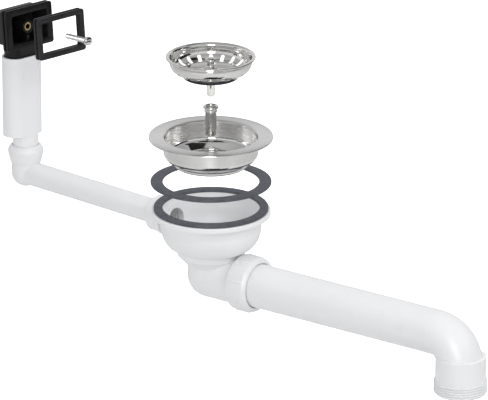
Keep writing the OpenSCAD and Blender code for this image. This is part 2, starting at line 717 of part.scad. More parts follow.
// Black overflow head: oval neck, hollow body behind the face and a boss for the insert
module overflow_head() {
    boss_front = insert_set - 0.4;
    color("#1c1c1f") difference() {
        union() {
            difference() {
                union() {
                    sleeve_axis() translate([0, 0, sleeve_z + sleeve_len - neck_len])
                        linear_extrude(neck_len + 14) slot_2d(neck_w, neck_t);
                    face_frame() {
                        lipped_slab(face_w, face_h, face_t);
                        face_slab(body_w, body_h, 3, body_depth);
                    }
                }
                face_frame() translate([0, -1, 0]) face_slab(cavity_w, cavity_h, 2, cavity_depth + 1);
                sleeve_axis() translate([0, 0, sleeve_z + sleeve_len - neck_len - eps])
                    linear_extrude(neck_len + 22) slot_2d(neck_w - 3.6, neck_t - 3.6);
            }
            face_frame() translate([0, cavity_depth + 1, 0]) rotate([90, 0, 0])
                cylinder(r = insert_r + 2.2, h = cavity_depth + 1 - boss_front);
        }
        face_frame() translate([0, insert_set + insert_len, 0]) rotate([90, 0, 0])
            cylinder(r = insert_r, h = insert_len + 10);
    }
}
module brass_insert() {
    color("gold") face_frame() translate([0, insert_set + insert_len, 0]) rotate([90, 0, 0])
        ring(insert_r, clamp_d / 2 + 0.05, insert_len);
}
module frame_gasket() {
    color("#232326") face_frame(frame_lift + face_t) difference() {
        lipped_slab(face_w, face_h, face_t);
        translate([0, -1, 0]) face_slab(face_w - 9, face_h - 9.8, 1.2, face_t + 2);
    }
}
module clamp_screw() {
    color("silver") face_frame(frame_lift + face_t + clamp_lift) rotate([90, 0, 0]) {
        cylinder(d1 = clamp_d - 1.2, d2 = clamp_d, h = 0.8);
        translate([0, 0, 0.8]) cylinder(d = clamp_d, h = clamp_len - 0.8);
        translate([0, 0, clamp_len]) difference() {
            cylinder(d = clamp_head_d, h = clamp_head_h);
            translate([-clamp_head_d, -0.6, clamp_head_h - 1.6]) cube([2 * clamp_head_d, 1.2, 2]);
        }
    }
}

valve_bowl();
hub_stud();
bowl_gasket();
flat_gasket();
sink_flange();
centre_screw();
basket_stem();
stem_nut();
strainer_basket();
basket_knob();
basket_seal();
elbow_seal();
outlet_elbow();
wedge_seal();
union_nut();
slip_ring();
outlet_pipe();
threaded_outlet();
branch_seal();
branch_nut();
overflow_pipe();
riser_seal();
riser_cap();
overflow_sleeve();
overflow_head();
brass_insert();
frame_gasket();
clamp_screw();
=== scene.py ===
# Basket strainer waste with overflow and outlet pipe:
# finishes, formed pieces and studio around the frame
import json
import math

import bmesh
import bpy
from mathutils import Matrix, Vector


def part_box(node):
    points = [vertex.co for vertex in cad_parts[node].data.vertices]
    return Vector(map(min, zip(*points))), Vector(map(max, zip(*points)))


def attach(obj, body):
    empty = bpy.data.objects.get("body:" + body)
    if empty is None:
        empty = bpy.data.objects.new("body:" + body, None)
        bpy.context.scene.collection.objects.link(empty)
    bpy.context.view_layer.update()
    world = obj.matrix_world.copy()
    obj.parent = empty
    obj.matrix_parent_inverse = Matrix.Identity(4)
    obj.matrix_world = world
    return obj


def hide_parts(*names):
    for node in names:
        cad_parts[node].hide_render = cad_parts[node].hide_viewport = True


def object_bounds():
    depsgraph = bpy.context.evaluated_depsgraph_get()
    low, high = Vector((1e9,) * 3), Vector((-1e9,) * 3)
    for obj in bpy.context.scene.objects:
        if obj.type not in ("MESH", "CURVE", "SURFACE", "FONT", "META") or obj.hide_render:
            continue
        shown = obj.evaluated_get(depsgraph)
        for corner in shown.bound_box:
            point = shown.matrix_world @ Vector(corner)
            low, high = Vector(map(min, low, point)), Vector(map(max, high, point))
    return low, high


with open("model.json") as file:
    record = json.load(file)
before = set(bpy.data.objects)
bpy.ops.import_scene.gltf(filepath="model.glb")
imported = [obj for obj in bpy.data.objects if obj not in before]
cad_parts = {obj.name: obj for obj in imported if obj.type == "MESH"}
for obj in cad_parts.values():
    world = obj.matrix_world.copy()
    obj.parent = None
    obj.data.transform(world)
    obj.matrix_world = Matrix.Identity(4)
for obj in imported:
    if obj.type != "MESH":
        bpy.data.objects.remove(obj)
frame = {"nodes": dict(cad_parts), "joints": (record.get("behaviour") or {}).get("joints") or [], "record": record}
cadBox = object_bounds()
nodes = frame["nodes"]
joints = {j["name"]: j for j in frame["joints"]}
mounts = {m["name"]: m for m in frame["record"]["mounts"]}
mm = 0.001

print("stage: camera and studio")
camera = dict(aim=(0.0297, 0.0, 0.0056), distance=5.0, lens=409.5, elevation=20.0)
studio = dict(
    floorDrop=0.16, floorSize=30.0, floorWhite=0.78, floorRough=0.9, floorGlow=1.0,
    worldGlow=0.55, worldSeen=1.05, lightAim=(0.02, 0, 0.05),
    flagAim=(0, 0, 0.08), flagGrey=0.01, flagRough=0.95,
)
# grey of the dome against height, 0 straight down and 1 straight up
domeGreys = ((0.12, 1.1), (0.40, 1.5), (0.58, 0.8), (0.78, 0.8))
domeEnds = ((0.9, 0.9, 0.91), (1.0, 1.0, 1.0))
domeCool = 1.01
softboxes = [
    # the key and top boxes shape the plastic, the front strip is only seen by the steel
    dict(name="keyBox", place=(1.2, -1.1, 1.3), size=(1.1, 0.9), power=13.0, mirrored=False),
    dict(name="topBox", place=(0.2, 0.4, 1.8), size=(1.6, 1.0), power=10.0, mirrored=False),
    dict(name="fillBox", place=(-0.9, -1.5, 0.3), size=(1.4, 1.2), power=7.0, mirrored=False),
    dict(name="frontStrip", place=(-0.05, -1.7, 0.55), size=(0.5, 1.1), power=12.0, mirrored=True),
]
flags = [
    # dark cards that only reflections see: they give the polished steel its dark bands
    dict(name="leftFlag", place=(-1.2, -0.3, 0.25), size=(0.35, 0.5)),
    dict(name="rightFlag", place=(1.2, 0.15, 0.35), size=(1.7, 0.8)),
    dict(name="overheadFlag", place=(0.20, 0.27, 1.0), size=(1.30, 0.36)),
    dict(name="floorFlag", place=(0.05, -0.12, -0.26), size=(0.34, 0.30)),
    dict(name="lensFlag", place=(0.05, -0.30, -0.25), size=(0.16, 0.10)),
]
scene = bpy.context.scene
scene.view_settings.view_transform = "Standard"


# matrix at place whose -Z looks at target
def turnedTo(place, target):
    look = (Vector(target) - Vector(place)).to_track_quat("-Z", "Y").to_matrix().to_4x4()
    return Matrix.Translation(Vector(place)) @ look


def setUpCamera(s):
    rise = math.radians(s["elevation"])
    aim = Vector(s["aim"])
    place = aim + s["distance"] * Vector((0, -math.cos(rise), math.sin(rise)))
    data = bpy.data.cameras.new("viewCamera")
    data.lens = s["lens"]
    data.sensor_width = 36.0
    data.clip_end = 100.0
    obj = bpy.data.objects.new("viewCamera", data)
    obj.matrix_world = turnedTo(place, aim)
    scene.collection.objects.link(obj)
    scene.camera = obj


def addLink(tree, source, target):
    tree.links.new(source, target)


def mathNode(tree, operation, a, b=None):
    node = tree.nodes.new("ShaderNodeMath")
    node.operation = operation
    for i, value in enumerate((a, b)):
        if value is None:
            continue
        if isinstance(value, (int, float)):
            node.inputs[i].default_value = value
        else:
            addLink(tree, value, node.inputs[i])
    return node.outputs[0]


def plainFinish(name, colour, roughness):
    made = bpy.data.materials.new(name)
    made.use_nodes = True
    shader = made.node_tree.nodes["Principled BSDF"]
    shader.inputs["Base Color"].default_value = (*colour, 1)
    shader.inputs["Roughness"].default_value = roughness
    return made


def studioSheet(name, size, matrix, finish):
    bm = bmesh.new()
    bmesh.ops.create_grid(bm, x_segments=1, y_segments=1, size=0.5)
    bmesh.ops.scale(bm, vec=(size[0], size[1], 1), verts=bm.verts)
    bmesh.ops.transform(bm, matrix=matrix, verts=bm.verts)
    mesh = bpy.data.meshes.new(name)
    bm.to_mesh(mesh)
    bm.free()
    obj = bpy.data.objects.new(name, mesh)
    mesh.materials.append(finish)
    scene.collection.objects.link(obj)
    return obj


def setUpStudio():
    low = cadBox[0][2] - studio["floorDrop"]
    white = (studio["floorWhite"],) * 3
    floorFinish = plainFinish("floorSheet", white, studio["floorRough"])
    tree = floorFinish.node_tree
    shader = tree.nodes["Principled BSDF"]
    shader.inputs["Emission Color"].default_value = (1, 1, 1, 1)
    paths = tree.nodes.new("ShaderNodeLightPath")
    glow = mathNode(tree, "MULTIPLY", paths.outputs["Is Camera Ray"], studio["floorGlow"])
    addLink(tree, glow, shader.inputs["Emission Strength"])
    size = (studio["floorSize"],) * 2
    studioSheet("floor", size, Matrix.Translation((0, 0, low)), floorFinish)
    dark = plainFinish("flagCloth", (studio["flagGrey"],) * 3, studio["flagRough"])
    for f in flags:
        card = studioSheet(f["name"], f["size"], turnedTo(f["place"], studio["flagAim"]), dark)
        card.visible_camera = False
        card.visible_diffuse = False
        card.visible_transmission = False
        card.visible_shadow = False
    for s in softboxes:
        data = bpy.data.lights.new(s["name"], "AREA")
        data.shape = "RECTANGLE"
        data.size, data.size_y = s["size"]
        data.energy = s["power"]
        obj = bpy.data.objects.new(s["name"], data)
        obj.matrix_world = turnedTo(s["place"], studio["lightAim"])
        obj.visible_glossy = s["mirrored"]
        obj.visible_diffuse = not s["mirrored"]
        scene.collection.objects.link(obj)
    setUpWorld()


# soft dome: plain white where the camera sees it, and graded by height in reflections
def setUpWorld():
    world = bpy.data.worlds.new("softDome")
    scene.world = world
    world.use_nodes = True
    tree = world.node_tree
    tree.nodes.clear()
    place = tree.nodes.new("ShaderNodeTexCoord")
    split = tree.nodes.new("ShaderNodeSeparateXYZ")
    ramp = tree.nodes.new("ShaderNodeValToRGB")
    for i, colour in enumerate(domeEnds):
        ramp.color_ramp.elements[i].position = i
        ramp.color_ramp.elements[i].color = (*colour, 1)
    for height, grey in domeGreys:
        stop = ramp.color_ramp.elements.new(height)
        stop.color = (grey, grey, grey * domeCool, 1)
    seen = tree.nodes.new("ShaderNodeBackground")
    seen.inputs["Color"].default_value = (1, 1, 1, 1)
    seen.inputs["Strength"].default_value = studio["worldSeen"]
    dome = tree.nodes.new("ShaderNodeBackground")
    dome.inputs["Strength"].default_value = studio["worldGlow"]
    paths = tree.nodes.new("ShaderNodeLightPath")
    mix = tree.nodes.new("ShaderNodeMixShader")
    out = tree.nodes.new("ShaderNodeOutputWorld")
    addLink(tree, place.outputs["Generated"], split.inputs[0])
    addLink(tree, split.outputs["Z"], ramp.inputs["Fac"])
    addLink(tree, ramp.outputs["Color"], dome.inputs["Color"])
    addLink(tree, paths.outputs["Is Camera Ray"], mix.inputs[0])
    addLink(tree, dome.outputs[0], mix.inputs[1])
    addLink(tree, seen.outputs[0], mix.inputs[2])
    addLink(tree, mix.outputs[0], out.inputs["Surface"])


setUpCamera(camera)
setUpStudio()

print("stage: shared effects")
# noise scales are per metre; the rings' are radius and height per metre and turn per radian
grain = dict(
    flowScale=70.0, flowDraw=(1.0, 1.0, 0.25), ringAcross=1500.0, ringAround=1.6, scratchScale=340.0,
)


def newGroup(name, inputs, outputs):
    tree = bpy.data.node_groups.new(name, "ShaderNodeTree")
    for label, value in inputs:
        socket = tree.interface.new_socket(name=label, in_out="INPUT", socket_type="NodeSocketFloat")
        socket.default_value = value
    for label in outputs:
        tree.interface.new_socket(name=label, in_out="OUTPUT", socket_type="NodeSocketFloat")
    source = tree.nodes.new("NodeGroupInput")
    sink = tree.nodes.new("NodeGroupOutput")
    return tree, source, sink


def noiseNode(tree, vector, scale, detail=3.0, roughness=0.55):
    node = tree.nodes.new("ShaderNodeTexNoise")
    node.inputs["Detail"].default_value = detail
    node.inputs["Roughness"].default_value = roughness
    if isinstance(scale, (int, float)):
        node.inputs["Scale"].default_value = scale
    else:
        addLink(tree, scale, node.inputs["Scale"])
    addLink(tree, vector, node.inputs["Vector"])
    return node.outputs["Fac"]


# cloudy tint, flow marks and fine skin of a moulded plastic or rubber
def mouldedGrainGroup():
    tree, source, sink = newGroup(
        "mouldedGrain", [("CloudScale", 18.0), ("SkinScale", 900.0)], ["Cloud", "Skin", "Flow"]
    )
    place = tree.nodes.new("ShaderNodeTexCoord").outputs["Object"]
    cloud = noiseNode(tree, place, source.outputs["CloudScale"], 4.0)
    skin = noiseNode(tree, place, source.outputs["SkinScale"], 2.0)
    stretch = tree.nodes.new("ShaderNodeMapping")
    stretch.inputs["Scale"].default_value = grain["flowDraw"]
    addLink(tree, place, stretch.inputs["Vector"])
    flow = noiseNode(tree, stretch.outputs[0], grain["flowScale"], 5.0, 0.65)
    addLink(tree, cloud, sink.inputs["Cloud"])
    addLink(tree, skin, sink.inputs["Skin"])
    addLink(tree, flow, sink.inputs["Flow"])
    return tree


# rings left by spinning round the bowl's axis, hand smudges, and a mask below a height in metres
def spunMetalGroup():
    tree, source, sink = newGroup(
        "spunMetal", [("RingScale", 1.0), ("SmudgeScale", 26.0), ("BelowHeight", -1.0)],
        ["Rings", "Smudge", "Scratch", "Below"]
    )
    place = tree.nodes.new("ShaderNodeTexCoord").outputs["Object"]
    split = tree.nodes.new("ShaderNodeSeparateXYZ")
    addLink(tree, place, split.inputs[0])
    x, y, z = (split.outputs[i] for i in range(3))
    squares = [mathNode(tree, "MULTIPLY", side, side) for side in (x, y)]
    radius = mathNode(tree, "SQRT", mathNode(tree, "ADD", *squares))
    turn = mathNode(tree, "ARCTAN2", y, x)
    join = tree.nodes.new("ShaderNodeCombineXYZ")
    addLink(tree, mathNode(tree, "MULTIPLY", radius, grain["ringAcross"]), join.inputs[0])
    addLink(tree, mathNode(tree, "MULTIPLY", z, grain["ringAcross"]), join.inputs[1])
    addLink(tree, mathNode(tree, "MULTIPLY", turn, grain["ringAround"]), join.inputs[2])
    rings = noiseNode(tree, join.outputs[0], source.outputs["RingScale"], 4.0, 0.7)
    smudge = noiseNode(tree, place, source.outputs["SmudgeScale"], 3.0)
    scratch = noiseNode(tree, place, grain["scratchScale"], 6.0, 0.7)
    addLink(tree, rings, sink.inputs["Rings"])
    addLink(tree, smudge, sink.inputs["Smudge"])
    addLink(tree, scratch, sink.inputs["Scratch"])
    below = mathNode(tree, "LESS_THAN", z, source.outputs["BelowHeight"])
    addLink(tree, below, sink.inputs["Below"])
    return tree


mouldedGrain = mouldedGrainGroup()
spunMetal = spunMetalGroup()
cloudShare = 0.6  # the rest of a moulding's tint follows its flow marks
glowReach = (0.004, 0.004, 0.0035)  # how far light carries in plastic, in metres
quarterTurn = 0.25  # turns the brushed gloss across the rings


def startFinish(name, group):
    made = bpy.data.materials.new(name)
    made.use_nodes = True
    tree = made.node_tree
    effect = tree.nodes.new("ShaderNodeGroup")
    effect.node_tree = group
    return made, tree, tree.nodes["Principled BSDF"], effect


# noise gathers round its middle, so the middle of its range is stretched over low to high
def spreadOf(tree, value, low, high):
    node = tree.nodes.new("ShaderNodeMapRange")
    node.inputs["From Min"].default_value = 0.3
    node.inputs["From Max"].default_value = 0.7
    node.inputs["To Min"].default_value = low
    node.inputs["To Max"].default_value = high
    addLink(tree, value, node.inputs["Value"])
    return node.outputs["Result"]


def tintOf(tree, value, dark, light):
    ramp = tree.nodes.new("ShaderNodeValToRGB")
    ramp.color_ramp.elements[0].position = 0.34
    ramp.color_ramp.elements[0].color = (*dark, 1)
    ramp.color_ramp.elements[1].position = 0.66
    ramp.color_ramp.elements[1].color = (*light, 1)
    addLink(tree, value, ramp.inputs["Fac"])
    return ramp.outputs["Color"]


def bumpOf(tree, height, strength, distance, shader):
    bump = tree.nodes.new("ShaderNodeBump")
    bump.inputs["Strength"].default_value = strength
    bump.inputs["Distance"].default_value = distance
    addLink(tree, height, bump.inputs["Height"])
    addLink(tree, bump.outputs["Normal"], shader.inputs["Normal"])


# share of one mask and the rest of the other
def blendOf(tree, first, second, share):
    shares = ((first, share), (second, 1 - share))
    return mathNode(tree, "ADD", *(mathNode(tree, "MULTIPLY", value, part) for value, part in shares))


def mouldedFinish(s):
    made, tree, shader, effect = startFinish(s["name"], mouldedGrain)
    effect.inputs["CloudScale"].default_value = s["cloud"]
    effect.inputs["SkinScale"].default_value = s["skin"]
    tint = blendOf(tree, effect.outputs["Cloud"], effect.outputs["Flow"], cloudShare)
    addLink(tree, tintOf(tree, tint, s["dark"], s["light"]), shader.inputs["Base Color"])
    addLink(tree, spreadOf(tree, effect.outputs["Flow"], *s["gloss"]), shader.inputs["Roughness"])
    bumpOf(tree, effect.outputs["Skin"], s["bump"], s["depth"], shader)
    shader.inputs["Specular IOR Level"].default_value = s.get("shine", 0.5)
    shader.inputs["Subsurface Weight"].default_value = s.get("glow", 0.0)
    shader.inputs["Subsurface Radius"].default_value = glowReach
    return made


def metalFinish(s):
    made, tree, shader, effect = startFinish(s["name"], spunMetal)
    effect.inputs["RingScale"].default_value = s["rings"]
    shader.inputs["Metallic"].default_value = 1.0
    mixed = blendOf(tree, effect.outputs["Rings"], effect.outputs["Smudge"], s["ringShare"])
    addLink(tree, tintOf(tree, mixed, s["dark"], s["light"]), shader.inputs["Base Color"])
    rough = spreadOf(tree, mixed, *s["gloss"])
    if "polishBelow" in s:
        effect.inputs["BelowHeight"].default_value = s["polishBelow"]
        polish = mathNode(tree, "MULTIPLY", effect.outputs["Below"], s["polishShare"])
        rough = mathNode(tree, "MULTIPLY", rough, mathNode(tree, "SUBTRACT", 1.0, polish))
    addLink(tree, rough, shader.inputs["Roughness"])
    bumpOf(tree, effect.outputs[s["relief"]], s["bump"], s["depth"], shader)
    if "drawn" in s:
        around = tree.nodes.new("ShaderNodeTangent")
        around.direction_type = "RADIAL"
        around.axis = "Z"
        addLink(tree, around.outputs["Tangent"], shader.inputs["Tangent"])
        shader.inputs["Anisotropic"].default_value = s["drawn"]
        shader.inputs["Anisotropic Rotation"].default_value = quarterTurn
    return made


print("stage: finishes")
# dark and light are the ends of the tint, gloss the ends of the roughness, depth is in metres
mouldings = dict(
    white_plastic=dict(
        name="whitePlastic", cloud=14.0, skin=700.0,
        dark=(0.83, 0.836, 0.845), light=(0.855, 0.86, 0.866),
        gloss=(0.27, 0.36), bump=0.05, depth=0.0003, glow=0.05,
    ),
    natural_plastic=dict(
        name="naturalPlastic", cloud=60.0, skin=900.0,
        dark=(0.78, 0.77, 0.72), light=(0.87, 0.87, 0.84),
        gloss=(0.22, 0.34), bump=0.08, depth=0.0002, glow=0.3,
    ),
    slate_rubber=dict(
        name="slateRubber", cloud=160.0, skin=1800.0,
        dark=(0.055, 0.06, 0.073), light=(0.10, 0.108, 0.125),
        gloss=(0.52, 0.72), bump=0.35, depth=0.0004,
    ),
    black_rubber=dict(
        name="blackRubber", cloud=120.0, skin=1500.0,
        dark=(0.012, 0.012, 0.013), light=(0.028, 0.028, 0.031),
        gloss=(0.38, 0.55), bump=0.25, depth=0.0003, shine=0.25,
    ),
    black_plastic=dict(
        name="blackPlastic", cloud=70.0, skin=1400.0,
        dark=(0.004, 0.004, 0.0045), light=(0.010, 0.010, 0.011),
        gloss=(0.30, 0.46), bump=0.22, depth=0.0003, shine=0.25,
    ),
)
polishDrop = 15.6  # the flange is polished from this far under its rim, where its slope starts
metals = dict(
    pressed_steel=dict(
        name="satinSteel", rings=1.0, ringShare=0.6,
        dark=(0.74, 0.735, 0.725), light=(0.82, 0.815, 0.805),
        gloss=(0.24, 0.34), relief="Rings", bump=0.012, depth=0.00003, drawn=0.7,
        polishBelow=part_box("sink_flange")[1].z - polishDrop * mm, polishShare=0.75,
    ),
    polished_steel=dict(
        name="polishedSteel", rings=0.7, ringShare=0.35,
        dark=(0.70, 0.695, 0.68), light=(0.82, 0.815, 0.80),
        gloss=(0.07, 0.13), relief="Scratch", bump=0.006, depth=0.00002,
    ),
    brass=dict(
        name="turnedBrass", rings=1.2, ringShare=0.2, dark=(0.55, 0.38, 0.13), light=(0.80, 0.62, 0.28),
        gloss=(0.16, 0.30), relief="Scratch", bump=0.1, depth=0.0001,
    ),
)
finishes = {slot: mouldedFinish(s) for slot, s in mouldings.items()}
finishes.update({slot: metalFinish(s) for slot, s in metals.items()})
slotOf = {s["node"]: s["material_slot"] for s in frame["record"]["subparts"]}
for nodeName, obj in nodes.items():
    obj.data.materials.clear()
    obj.data.materials.append(finishes[slotOf[nodeName]])

print("stage: tools for formed pieces")
outletJoint = joints["outlet_turn"]
overflowJoint = joints["overflow_tilt"]
riserJoint = joints["sleeve_swivel"]
frameJoint = joints["frame_seat"]
wideSteps = 144  # sides of a turned piece as wide as the bowl
nutSteps = 96
knobSteps = 64
boltSteps = 48
mergeReach = 0.001 * mm
seamReach = 0.002 * mm  # corners nearer than this after a boolean are one
flatTurn = math.radians(0.6)  # faces of a CAD mesh that turn less than this are one flat
edgeTurn = math.radians(50)  # an edge that turns more than this is rounded


# matrix at place whose +Z runs along the given direction, which isn't upright
def axisMatrix(place, along):
    zAxis = Vector(along).normalized()
    xAxis = Vector((0, 0, 1)).cross(zAxis).normalized()
    yAxis = zAxis.cross(xAxis)
    turned = Matrix((xAxis, yAxis, zAxis)).transposed().to_4x4()
    return Matrix.Translation(Vector(place)) @ turned


# matrix out along a joint from the point that lies back mm behind it
def behindJoint(joint, back):
    axis = Vector(joint["axis"])
    return axisMatrix(Vector(joint["pos_m"]) - back * mm * axis, axis)


def topOf(node):
    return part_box(node)[1].z / mm


def uprightAt(heightMm):
    return Matrix.Translation((0, 0, heightMm * mm))


# finished mesh from bm in its place, riding on body and standing for its CAD nodes;
# an edge that turns more than sharp degrees isn't smoothed
def addPiece(name, bm, place, body, standsFor, finishName, sharp):
    bmesh.ops.transform(bm, matrix=place, verts=bm.verts)
    mesh = bpy.data.meshes.new(name)
    bm.to_mesh(mesh)
    bm.free()
    mesh.materials.append(finishes[finishName])
    mesh.shade_smooth()
    mesh.set_sharp_from_angle(angle=math.radians(sharp))
    obj = bpy.data.objects.new(name, mesh)
    scene.collection.objects.link(obj)
    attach(obj, body)
    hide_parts(*standsFor)
    return obj


# closed outline of (radius, height, rounding) points in mm; a larger rounding has more sides
def wireOf(bm, outline):
    verts = [bm.verts.new((radius * mm, 0, height * mm)) for radius, height, rounding in outline]
    for a, b in zip(verts, verts[1:] + verts[:1]):
        bm.edges.new((a, b))
    for vert, (radius, height, rounding) in zip(verts, outline):
        if rounding:
            segments = 2 if rounding < 0.5 else (4 if rounding < 2 else 8)
            bmesh.ops.bevel(
                bm, geom=[vert], offset=rounding * mm, offset_type="OFFSET", segments=segments,
                profile=0.5, affect="VERTICES", material=-1, clamp_overlap=True,
            )


# outline turned once round +Z, seam closed
def spun(outline, steps=wideSteps):
    bm = bmesh.new()
    wireOf(bm, outline)
    bmesh.ops.spin(
        bm, geom=bm.verts[:] + bm.edges[:], cent=(0, 0, 0), axis=(0, 0, 1), dvec=(0, 0, 0),
        angle=2 * math.pi, steps=steps, use_merge=True, use_duplicate=False,
    )
    bmesh.ops.remove_doubles(bm, verts=bm.verts, dist=mergeReach)
    bmesh.ops.recalc_face_normals(bm, faces=bm.faces)
    return bm


# a box of size mm, its edges rounded, added to bm
def block(bm, size, place, bevel=0.0):
    made = bmesh.ops.create_cube(bm, size=1.0)["verts"]
    bmesh.ops.scale(bm, vec=[v * mm for v in size], verts=made)
    bmesh.ops.transform(bm, matrix=place, verts=made)
    if bevel:
        edges = list({e for v in made for e in v.link_edges})
        bmesh.ops.bevel(
            bm, geom=edges, offset=bevel * mm, offset_type="OFFSET", segments=3,
            profile=0.5, affect="EDGES", material=-1,
        )


# a rod of oval section along Z, for cutting a round-ended slot; each end has that many sides
def oval(bm, length, width, depth, place, steps):
    radius = width / 2 * mm
    made = bmesh.ops.create_circle(bm, cap_ends=True, segments=2 * steps, radius=radius)["verts"]
    for v in made:
        v.co.x += math.copysign((length - width) / 2 * mm, v.co.x)
    face = made[0].link_faces[0]
    top = bmesh.ops.extrude_face_region(bm, geom=[face])["geom"]
    lifted = [g for g in top if isinstance(g, bmesh.types.BMVert)]
    bmesh.ops.translate(bm, vec=(0, 0, depth * mm), verts=lifted)
    whole = list(set(made + lifted))
    bmesh.ops.translate(bm, vec=(0, 0, -depth / 2 * mm), verts=whole)
    bmesh.ops.transform(bm, matrix=place, verts=whole)


def objectOf(name, bm):
    bmesh.ops.recalc_face_normals(bm, faces=bm.faces)
    mesh = bpy.data.meshes.new(name)
    bm.to_mesh(mesh)
    bm.free()
    obj = bpy.data.objects.new(name, mesh)
    scene.collection.objects.link(obj)
    return obj


# bm joined with one shape, less another and with its edges rounded, as a new bmesh
def bakedBody(bm, cutter=None, join=None, bevel=0.0):
    body = objectOf("workBody", bm)
    others = []
    for mode, other in (("UNION", join), ("DIFFERENCE", cutter)):
        if other is None:
            continue
        tool = objectOf("workTool", other)
        others.append(tool)
        step = body.modifiers.new(mode.lower(), "BOOLEAN")
        step.operation = mode
        step.solver = "EXACT"
        step.object = tool
    if bevel:
        step = body.modifiers.new("edge", "BEVEL")
        step.width = bevel * mm
        step.segments = 2
        step.limit_method = "ANGLE"
        step.angle_limit = edgeTurn
        step.use_clamp_overlap = True
    bpy.context.view_layer.update()
    shaped = body.evaluated_get(bpy.context.evaluated_depsgraph_get())
    result = bmesh.new()
    result.from_mesh(shaped.to_mesh())
    for obj in [body] + others:
        bpy.data.objects.remove(obj)
    bmesh.ops.remove_doubles(result, verts=result.verts, dist=seamReach)
    return result


print("stage: pressed steel flange and basket")
# sizes are in mm, and the heights of these two are measured from their rims
# R at the end of a name is a radius, W a width, H a height and L a length
flange = dict(
    rimR=56.0, hem=1.6, steel=0.9, wallR=41.8, wallH=15.0, corner=4.0, slope=30.0, collarR=32.6,
    seat=-26.6, seatR=22.5, hubR=9.0, hub=-29.7, boreR=5.35, spokes=4, spokeW=7.0, spokeTurn=45.0,
)
basket = dict(
    rimR=40.25, lipR=35.7, floorR=22.0, floor=-12.0, steel=0.8, bulgeR=36.4, footR=29.6, foot=-15.0,
    slots=20, slotW=3.4, slotL=10.6, slotReach=10, slotR=30.4, slotH=-11.1, slotLean=-11.5,
    skirtR=24.6, skirtFoot=-16.5,
)


def makeFlange(s):
    slope = math.tan(math.radians(s["slope"]))
    foot = -s["wallH"] - s["corner"]
    drop = (s["wallR"] - s["collarR"]) * slope
    t = s["steel"]
    edge = foot - drop + 1.3
    inner = [
        (s["rimR"], 0, 0.45),
        (s["wallR"] + 0.05, 0, 1.7),
        (s["wallR"], edge + drop - 1.0, s["corner"] - 0.6),
        (s["collarR"], edge - 1.0, 0.7),
        (s["collarR"], s["seat"], 0.8),
        (s["seatR"], s["seat"], 0.5),
        (s["hubR"], s["hub"], 0.5),
        (s["boreR"], s["hub"], 0.2),
    ]
    outer = [
        (s["boreR"], s["hub"] - t, 0.2),
        (s["hubR"] + 0.1, s["hub"] - t, 0.5),
        (s["seatR"] + 0.2, s["seat"] - t, 0.6),
        (s["collarR"] + t, s["seat"] - t, 1.5),
        (s["collarR"] + t, edge - 1.5, 0.5),
        (s["wallR"] + t, edge + drop - 1.5, s["corner"]),
        (s["wallR"] + t, -t, 0.9),
        (s["rimR"] - t, -t, 0.2),
        (s["rimR"] - t, -s["hem"], 0.2),
        (s["rimR"], -s["hem"], 0.2),
    ]
    bm = spun(inner + outer)
    # the windows are a ring less its spokes, and run a little past the seat above and below
    near, far, low, high = s["hubR"] + 0.5, s["seatR"] - 0.5, s["hub"] - 3, s["seat"] + 2
    ring = spun([(near, low, 0), (far, low, 0), (far, high, 0), (near, high, 0)])
    reach, middle, tall = 26, 14, 16  # each spoke's cut starts at the axis and ends past the ring
    spokes = bmesh.new()
    for i in range(s["spokes"]):
        turn = Matrix.Rotation(math.radians(s["spokeTurn"] + i * 360 / s["spokes"]), 4, "Z")
        place = turn @ Matrix.Translation((middle * mm, 0, s["hub"] * mm))
        block(spokes, (reach, s["spokeW"], tall), place)
    windows = bakedBody(ring, cutter=spokes)
    place = uprightAt(topOf("sink_flange"))
    addPiece(
        "sinkFlangeCup", bakedBody(bm, cutter=windows), place, "sink_flange", ["sink_flange"],
        "pressed_steel", 28,
    )


